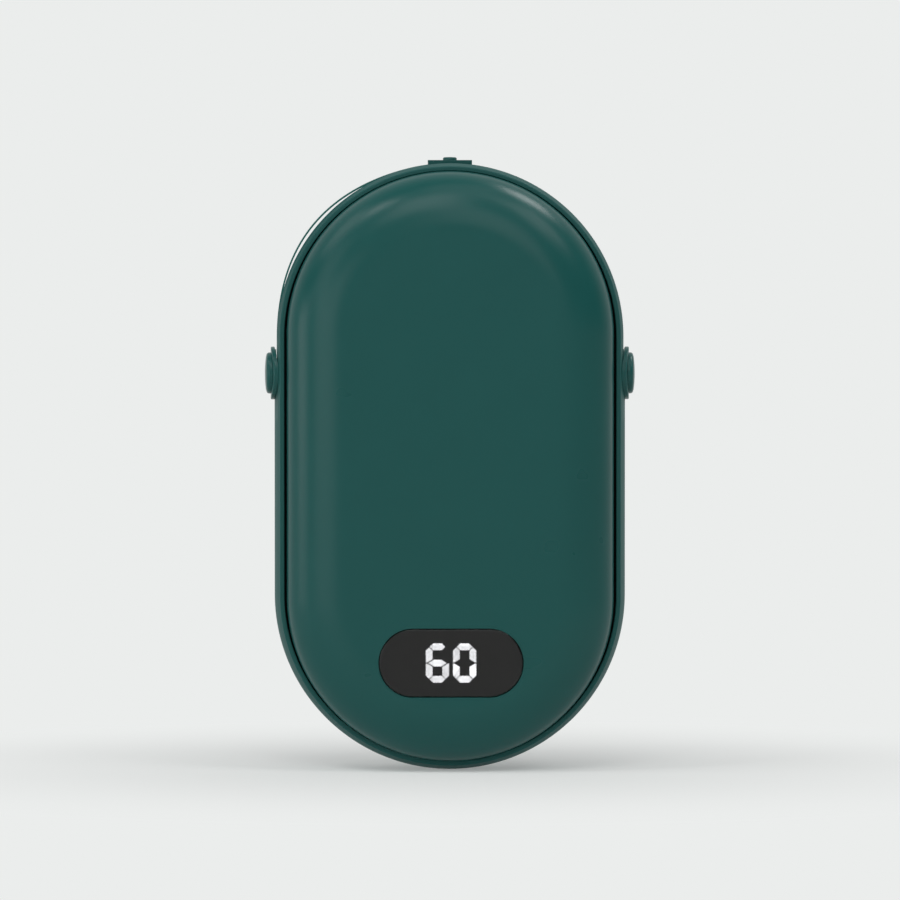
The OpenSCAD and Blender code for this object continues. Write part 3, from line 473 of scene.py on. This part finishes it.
def mid_frame():
    """Bulged ring with the strap's recess over the arch, walled in front, and the openings for studs,
    button and port."""
    bm = housing_ring()
    wide = 2 * HOUSING_R
    space = block((-wide, -STRAP_W / 2 - RECESS_GAP, PIVOT_Z), (wide, CROWN_Y, HOUSING_H + wide))
    space = combine(space, cylinder(RECESS_R, 2 * wide, (0, 0, PIVOT_Z), (1, 0, 0)), "UNION")
    swing = block((-wide, -STRAP_W / 2 - SWING_GAP, 0), (wide, STRAP_W / 2 + SWING_GAP, CROWN_Y))
    back = Matrix.Rotation(radians(-SWING_MAX), 3, "X")
    bmesh.ops.rotate(swing, verts=swing.verts, cent=(0, 0, 0), matrix=back)
    bmesh.ops.translate(swing, verts=swing.verts, vec=(0, 0, PIVOT_Z))
    space = combine(space, swing, "UNION")
    bm = combine(bm, combine(space, strap_floor()))
    for side in (-1, 1):
        low = (OPENING_R + HOUSING_R) / 2
        seat = cylinder(EYELET_R, SEAT_X - low, (side * (SEAT_X + low) / 2, 0, PIVOT_Z), (1, 0, 0))
        bm = combine(bm, seat, "UNION")
        bm = combine(bm, cylinder(STUD_R, wide, (side * wide * 0.75, 0, PIVOT_Z), (1, 0, 0)))
    bm = combine(bm, cylinder(SLEEVE_R, wide, (0, 0, HOUSING_TOP + HOUSING_R), (0, 0, 1)))
    length, width = port_high.x - port_low.x + PORT_FIT, port_high.y - port_low.y + PORT_FIT
    port = pill(length, width, 0, 0, -port_high.z - MM)
    bmesh.ops.rotate(port, verts=port.verts, cent=(0, 0, 0), matrix=Matrix.Rotation(-pi / 2, 3, "X"))
    bmesh.ops.translate(port, verts=port.verts, vec=(0, 0, -MM / 2))
    bm = combine(bm, port)
    return joined(bm, inner_posts())


finish_piece("housing_ring", mid_frame(), FRAME, "housing", ["mid_frame"])


def button_seat():
    """Flat-topped seat on the arch, with the sleeve that guides the button."""
    half_l, half_w = (base_high.x - base_low.x) / 2, (base_high.y - base_low.y) / 2
    top = base_high.z
    bm = combine(block((-half_l, -half_w, HOUSING_TOP), (half_l, half_w, top)), strap_floor())
    round_edges(bm, lambda e: sharp(e) and min(v.co.z for v in e.verts) > top - FINE_EDGE_R
                or sharp(e) and abs(e.verts[0].co.z - e.verts[1].co.z) > 0.3 * MM, FINE_EDGE_R)
    sleeve_top = HOUSING_TOP + STRAP_FLOOR_R + 0.2 * MM
    sleeve = cylinder(SLEEVE_R, sleeve_top - base_low.z, (0, 0, (sleeve_top + base_low.z) / 2), (0, 0, 1))
    bm = combine(bm, sleeve, "UNION")
    return combine(bm, cylinder(BUTTON_R + BUTTON_GAP, 20 * MM, (0, 0, top), (0, 0, 1)))


def push_button():
    """Round button with a soft edge, a barely domed top and the flange that keeps it in its sleeve."""
    low, high = button_low.z, button_high.z
    rim = high - 0.04 * MM
    edge = arc(BUTTON_R - BUTTON_EDGE_R, rim - BUTTON_EDGE_R, BUTTON_EDGE_R, 0, 84, 8)
    flange = low + FLANGE_T - BUTTON_GAP
    return lathe([(0, low), (SLEEVE_R, low), (SLEEVE_R, flange), (BUTTON_R, flange)] + edge
                 + [(BUTTON_R / 3, high - 0.008 * MM), (0, high)])


finish_piece("button_seat", button_seat(), GREEN, "housing", ["button_base"])
finish_piece("push_button", push_button(), GREEN, "button", ["power_button"])


def bow(angle):
    """How far the strap stands off at an angle in degrees, counted from the left end of the arch."""
    return STRAP_BOW * sin(pi * angle / BOW_SPAN) ** 2 if 0 < angle < BOW_SPAN else 0


def arch(r):
    """Points of the strap's arch, from right to left."""
    turns = [180 * i / ARC_STEPS for i in range(ARC_STEPS + 1)]
    return [((r + bow(180 - a)) * cos(radians(a)), HOUSING_TOP + (r + bow(180 - a)) * sin(radians(a)))
            for a in turns]


def strap():
    """Thin strap over the arch, with an eyelet at each end and a notch behind the button."""
    inside = [(STRAP_IN, PIVOT_Z)] + arch(STRAP_IN) + [(-STRAP_IN, PIVOT_Z)]
    outside = [(STRAP_OUT, PIVOT_Z)] + arch(STRAP_OUT) + [(-STRAP_OUT, PIVOT_Z)]
    bm = bmesh.new()
    face = bm.faces.new([bm.verts.new((x, -STRAP_W / 2, z)) for x, z in inside + outside[::-1]])
    swept = bmesh.ops.extrude_face_region(bm, geom=[face])["geom"]
    moved = [g for g in swept if isinstance(g, bmesh.types.BMVert)]
    bmesh.ops.translate(bm, verts=moved, vec=(0, STRAP_W, 0))
    bmesh.ops.recalc_face_normals(bm, faces=bm.faces)
    middle = (STRAP_IN + STRAP_OUT) / 2
    for side in (-1, 1):
        place = (side * middle, 0, PIVOT_Z)
        bm = combine(bm, cylinder(EYELET_R, STRAP_T, place, (1, 0, 0)), "UNION")
        bm = combine(bm, cylinder(STUD_R + EYELET_GAP, 2 * STRAP_T, place, (1, 0, 0)))
    notch_end = (base_high.x + NOTCH_RIGHT, base_high.y + NOTCH_BACK, HOUSING_TOP + HOUSING_R + MM)
    bm = combine(bm, block((base_low.x - NOTCH_LEFT, -STRAP_W, HOUSING_TOP), notch_end))
    return round_edges(bm, sharp, FINE_EDGE_R, 3)


finish_piece("strap_band", strap(), BAND, "strap", ["carry_strap"])


def on_the_side(bm):
    """Lays a solid made along Z on the right side at the pivot, its shape following the plates' bulge."""
    bmesh.ops.rotate(bm, verts=bm.verts, cent=(0, 0, 0), matrix=Matrix.Rotation(pi / 2, 3, "Y"))
    bmesh.ops.translate(bm, verts=bm.verts, vec=(0, 0, PIVOT_Z))
    return bm


def bulge_drop(y):
    """How far the plates' bulge falls away at a depth."""
    return PLATE_BULGE_R - sqrt(PLATE_BULGE_R ** 2 - y ** 2)


def pivot_plate():
    """Round plate seated on the mid-frame's side round the eyelet, open where the strap swings through."""
    low, top, r = plate_low.x, PLATE_TOP, PLATE_R
    bm = on_the_side(lathe([(STUD_R, low - 2 * MM), (r, low - 2 * MM)]
                           + arc(r - PLATE_EDGE_R, top - PLATE_EDGE_R, PLATE_EDGE_R, 0, 90, 8)
                           + [(STUD_R, top)], ring=True))
    for v in bm.verts:
        v.co.x -= bulge_drop(v.co.y)
    under = STRAP_OUT + EYELET_GAP
    bm = combine(bm, cylinder(RECESS_R, 2 * under, (0, 0, PIVOT_Z), (1, 0, 0)))
    bm = combine(bm, cylinder(BARREL_R + SEAT_GAP, 4 * PLATE_R, (BARREL_X, 0, PIVOT_Z), (0, 0, 1)))
    middle = under + EYELET_GAP + PLATE_CORE_T / 2
    core = cylinder(EYELET_R, PLATE_CORE_T, (middle, 0, PIVOT_Z), (1, 0, 0))
    core = combine(core, cylinder(STUD_R + EYELET_GAP, 2 * PLATE_CORE_T, (middle, 0, PIVOT_Z), (1, 0, 0)))
    bm = combine(bm, core, "UNION")
    reach = asin((STRAP_W / 2 + RECESS_GAP) / RECESS_R) * 180 / pi
    way = bmesh.new()
    turns = [radians(-reach + (SWING_MAX + 2 * reach) * i / 12) for i in range(13)]
    face = way.faces.new([way.verts.new((0, y, PIVOT_Z + z)) for y, z in
                          [(0, 0)] + [(2 * PLATE_R * sin(a), 2 * PLATE_R * cos(a)) for a in turns]])
    swept = bmesh.ops.extrude_face_region(way, geom=[face])["geom"]
    moved = [g for g in swept if isinstance(g, bmesh.types.BMVert)]
    bmesh.ops.translate(way, verts=moved, vec=(under, 0, 0))
    bmesh.ops.recalc_face_normals(way, faces=way.faces)
    return combine(bm, way)


def pivot_cap():
    """Cap on the plate: a soft round edge, a low dome, and a blind hole for the stud."""
    top, rim, r = cap_high.x, cap_high.x - CAP_DOME, CAP_R
    dome_r = (r ** 2 + CAP_DOME ** 2) / (2 * CAP_DOME)
    dome = [(x, h) for x, h in arc(0, top - dome_r, dome_r, acos(r / dome_r) * 180 / pi, 90, 16)
            if x < r - CAP_EDGE_R]
    edge = arc(r - CAP_EDGE_R, rim - CAP_EDGE_R + 0.02 * MM, CAP_EDGE_R, 0, 86, 10)
    bm = on_the_side(lathe([(0, top - CAP_COVER_T), (STUD_R, top - CAP_COVER_T), (STUD_R, PLATE_TOP),
                            (r, PLATE_TOP)] + edge + dome))
    for v in bm.verts:
        share = (top - v.co.x) / (top - PLATE_TOP)
        v.co.x -= bulge_drop(v.co.y) * share
    return bm


for hand in ("left", "right"):
    for what, make, finish in (("pivot_plate", pivot_plate, GREEN), ("pivot_cap", pivot_cap, GREEN)):
        solid = make() if hand == "right" else mirrored(make(), "X")
        finish_piece(hand + "_" + what + "_disc", solid, finish, "housing", [hand + "_" + what])


def window_lens():
    """Flat smoked lens with a fine bevel round its face."""
    length, width = window_high.x - window_low.x, window_high.z - window_low.z
    bm = pill(length, width, (window_low.z + window_high.z) / 2, window_low.y, window_high.y)
    return round_edges(bm, lambda e: sharp(e) and all(v.co.y < window_low.y + FINE_EDGE_R for v in e.verts),
                       WINDOW_BEVEL)


finish_piece("window_lens", window_lens(), WINDOW, "housing", ["display_window"])

FINISHES = {
    "soft_touch_green": GREEN,
    "strap_green": BAND,
    # The seal's near-black is partly its own colour, partly painted shade in the seam
    "seal_black": SEAL_AND_SEAM_SHADE,
    "window_smoke": WINDOW,
    "mask_black": MASK,
    "segment_white": LIT,
    "segment_dark": UNLIT,
    "module_white": CASE_WHITE,
    "board_green": BOARD,
    "component_black": EPOXY,
    "capacitor_tan": CAPACITOR,
    "plated_steel": STEEL,
    "cell_foil": FOIL,
    "tray_grey": TRAY,
    "foam_grey": FOAM_GREY,
    "foam_white": FOAM_WHITE,
    "wire_red": WIRE_RED,
    "wire_white": WIRE_WHITE,
    "wire_black": WIRE_BLACK,
    "spreader_aluminium": ALUMINIUM,
    "heater_film": FILM,
}
for part in frame["record"]["subparts"]:
    for place in frame["nodes"][part["node"]].material_slots:
        place.material = FINISHES[part["material_slot"]]

bpy.context.view_layer.update()


GROUND_R = 30
FLOOR_COLOUR = "#e0e2e1"
BACKDROP_COLOUR = "#ebedec"
# Share of the backdrop's even colour in the floor at the object, and where it grows to the whole
FLOOR_PALE = 0.15
FADE_FROM, FADE_TO = 20 * MM, 130 * MM


def floor_and_backdrop():
    """Pale floor that keeps the object's shadow near it and fades into an even backdrop all round."""
    bm = bmesh.new()
    bmesh.ops.create_circle(bm, cap_ends=True, segments=ARC_STEPS, radius=GROUND_R)
    made = as_object("floor", bm)
    paper = bpy.data.materials.new("floor_paper")
    paper.use_nodes = True
    tree = paper.node_tree
    tree.nodes.remove(tree.nodes["Principled BSDF"])
    where = node(tree, "ShaderNodeTexCoord").outputs["Object"]
    away = node(tree, "ShaderNodeVectorMath", {"operation": "LENGTH"}, i0=where)
    fade = node(tree, "ShaderNodeMapRange", {"interpolation_type": "SMOOTHSTEP"}, Value=away.outputs["Value"],
                i1=FADE_FROM, i2=FADE_TO, i3=FLOOR_PALE)
    matt = node(tree, "ShaderNodeBsdfDiffuse", Color=lin(FLOOR_COLOUR))
    flat = node(tree, "ShaderNodeEmission", Color=lin(BACKDROP_COLOUR), Strength=1.0)
    path = node(tree, "ShaderNodeLightPath").outputs
    seen = node(tree, "ShaderNodeMath", {"operation": "MAXIMUM"}, i0=path["Is Camera Ray"],
                i1=path["Is Glossy Ray"])
    seen = node(tree, "ShaderNodeMath", {"operation": "MAXIMUM"}, i0=seen.outputs[0],
                i1=path["Is Transmission Ray"])
    share = node(tree, "ShaderNodeMath", {"operation": "MULTIPLY"}, i0=fade.outputs[0], i1=seen.outputs[0])
    mix = node(tree, "ShaderNodeMixShader", i0=share.outputs[0], i1=matt.outputs[0], i2=flat.outputs[0])
    tree.links.new(mix.outputs[0], tree.nodes["Material Output"].inputs["Surface"])
    made.data.materials.append(paper)


floor_and_backdrop()


# Strength of the room's light in front of and behind the object, and the directions between which it grows
ROOM_FRONT, ROOM_BACK = 0.1, 0.35
BACK_FROM, BACK_TO = -0.2, 0.5


def room():
    """Room that is lighter behind the object than in front of it. The camera and the window see the
    backdrop's colour all round, and reflections see it behind the object."""
    world = bpy.data.worlds.new("room")
    world.use_nodes = True
    tree = world.node_tree
    way = node(tree, "ShaderNodeSeparateXYZ", Vector=node(tree, "ShaderNodeTexCoord").outputs["Generated"])
    behind = node(tree, "ShaderNodeMapRange", {"interpolation_type": "SMOOTHSTEP"}, Value=way.outputs["Y"],
                  i1=BACK_FROM, i2=BACK_TO)
    level = node(tree, "ShaderNodeMapRange", Value=behind.outputs[0], i3=ROOM_FRONT, i4=ROOM_BACK)
    light = node(tree, "ShaderNodeBackground", Color=(1, 1, 1, 1), Strength=level.outputs[0])
    seen = node(tree, "ShaderNodeBackground", Color=lin(BACKDROP_COLOUR), Strength=1.0)
    path = node(tree, "ShaderNodeLightPath").outputs
    direct = node(tree, "ShaderNodeMath", {"operation": "MAXIMUM"}, i0=path["Is Camera Ray"],
                  i1=path["Is Transmission Ray"])
    mirrored_in = node(tree, "ShaderNodeMath", {"operation": "MULTIPLY"}, i0=path["Is Glossy Ray"],
                       i1=behind.outputs[0])
    share = node(tree, "ShaderNodeMath", {"operation": "MAXIMUM"}, i0=direct.outputs[0],
                 i1=mirrored_in.outputs[0])
    mix = node(tree, "ShaderNodeMixShader", i0=share.outputs[0], i1=light.outputs[0], i2=seen.outputs[0])
    tree.links.new(mix.outputs[0], tree.nodes["World Output"].inputs["Surface"])
    bpy.context.scene.world = world


room()


def softbox(name, azimuth, elevation, distance, size, power, shadow=True):
    """Square soft lamp that faces the middle of the object, from an azimuth and an elevation in degrees."""
    lamp = bpy.data.lights.new(name, "AREA")
    lamp.shape, lamp.size, lamp.energy = "SQUARE", size, power
    lamp.use_shadow = shadow
    made = bpy.data.objects.new(name, lamp)
    a, e = radians(azimuth), radians(elevation)
    way = Vector((sin(a) * cos(e), -cos(a) * cos(e), sin(e)))
    made.location = Vector((0, 0, HOUSING_H / 2)) + way * distance
    made.rotation_euler = way.to_track_quat("Z", "Y").to_euler()
    bpy.context.scene.collection.objects.link(made)


# Name, azimuth, elevation, distance, size and power of each lamp; the one behind the object gives its
# edge a shine and throws no shadow forward
SOFTBOXES = [
    ("high_softbox", -10, 45, 1.0, 0.4, 1.61),
    ("front_softbox", 10, 22, 1.0, 0.4, 0.92),
    ("left_softbox", -31, 0, 1.0, 0.55, 1.8),
    ("left_middle_softbox", -50, 22, 1.0, 0.4, 0.69),
    ("left_high_lamp", -49, 55, 1.0, 0.15, 0.86),
    ("left_side_softbox", -75, 0, 1.0, 0.4, 1.5),
    ("left_side_high_softbox", -75, 45, 1.0, 0.4, 1.21),
    ("right_high_softbox", 50, 45, 1.0, 0.4, 1.5),
    ("right_rear_softbox", 104, 59, 1.0, 0.3, 3.0, False),
    ("top_softbox", 15, 68, 1.0, 0.5, 0.95),
]
for lamp in SOFTBOXES:
    softbox(*lamp)

# The photograph's camera: a long lens, a little from the left and from above
PHOTO_SIDE = 900
PX_PER_MM = 5.56
CAMERA_AZIMUTH, CAMERA_ELEVATION = -1.0, 2.0
CAMERA_DISTANCE = 1.5
CAMERA_AIM = Vector((0.03 * MM, 0, 57.43 * MM))


def camera():
    """The photograph's camera, aimed at the middle of the picture."""
    data = bpy.data.cameras.new("camera")
    data.angle = 2 * atan(PHOTO_SIDE / PX_PER_MM * MM / 2 / CAMERA_DISTANCE)
    data.clip_start, data.clip_end = 0.05, 100
    made = bpy.data.objects.new("camera", data)
    a, e = radians(CAMERA_AZIMUTH), radians(CAMERA_ELEVATION)
    way = Vector((sin(a) * cos(e), -cos(a) * cos(e), sin(e)))
    made.location = CAMERA_AIM + way * CAMERA_DISTANCE
    made.rotation_euler = way.to_track_quat("Z", "Y").to_euler()
    bpy.context.scene.collection.objects.link(made)
    bpy.context.scene.camera = made


camera()
bpy.context.scene.view_settings.view_transform = "Standard"
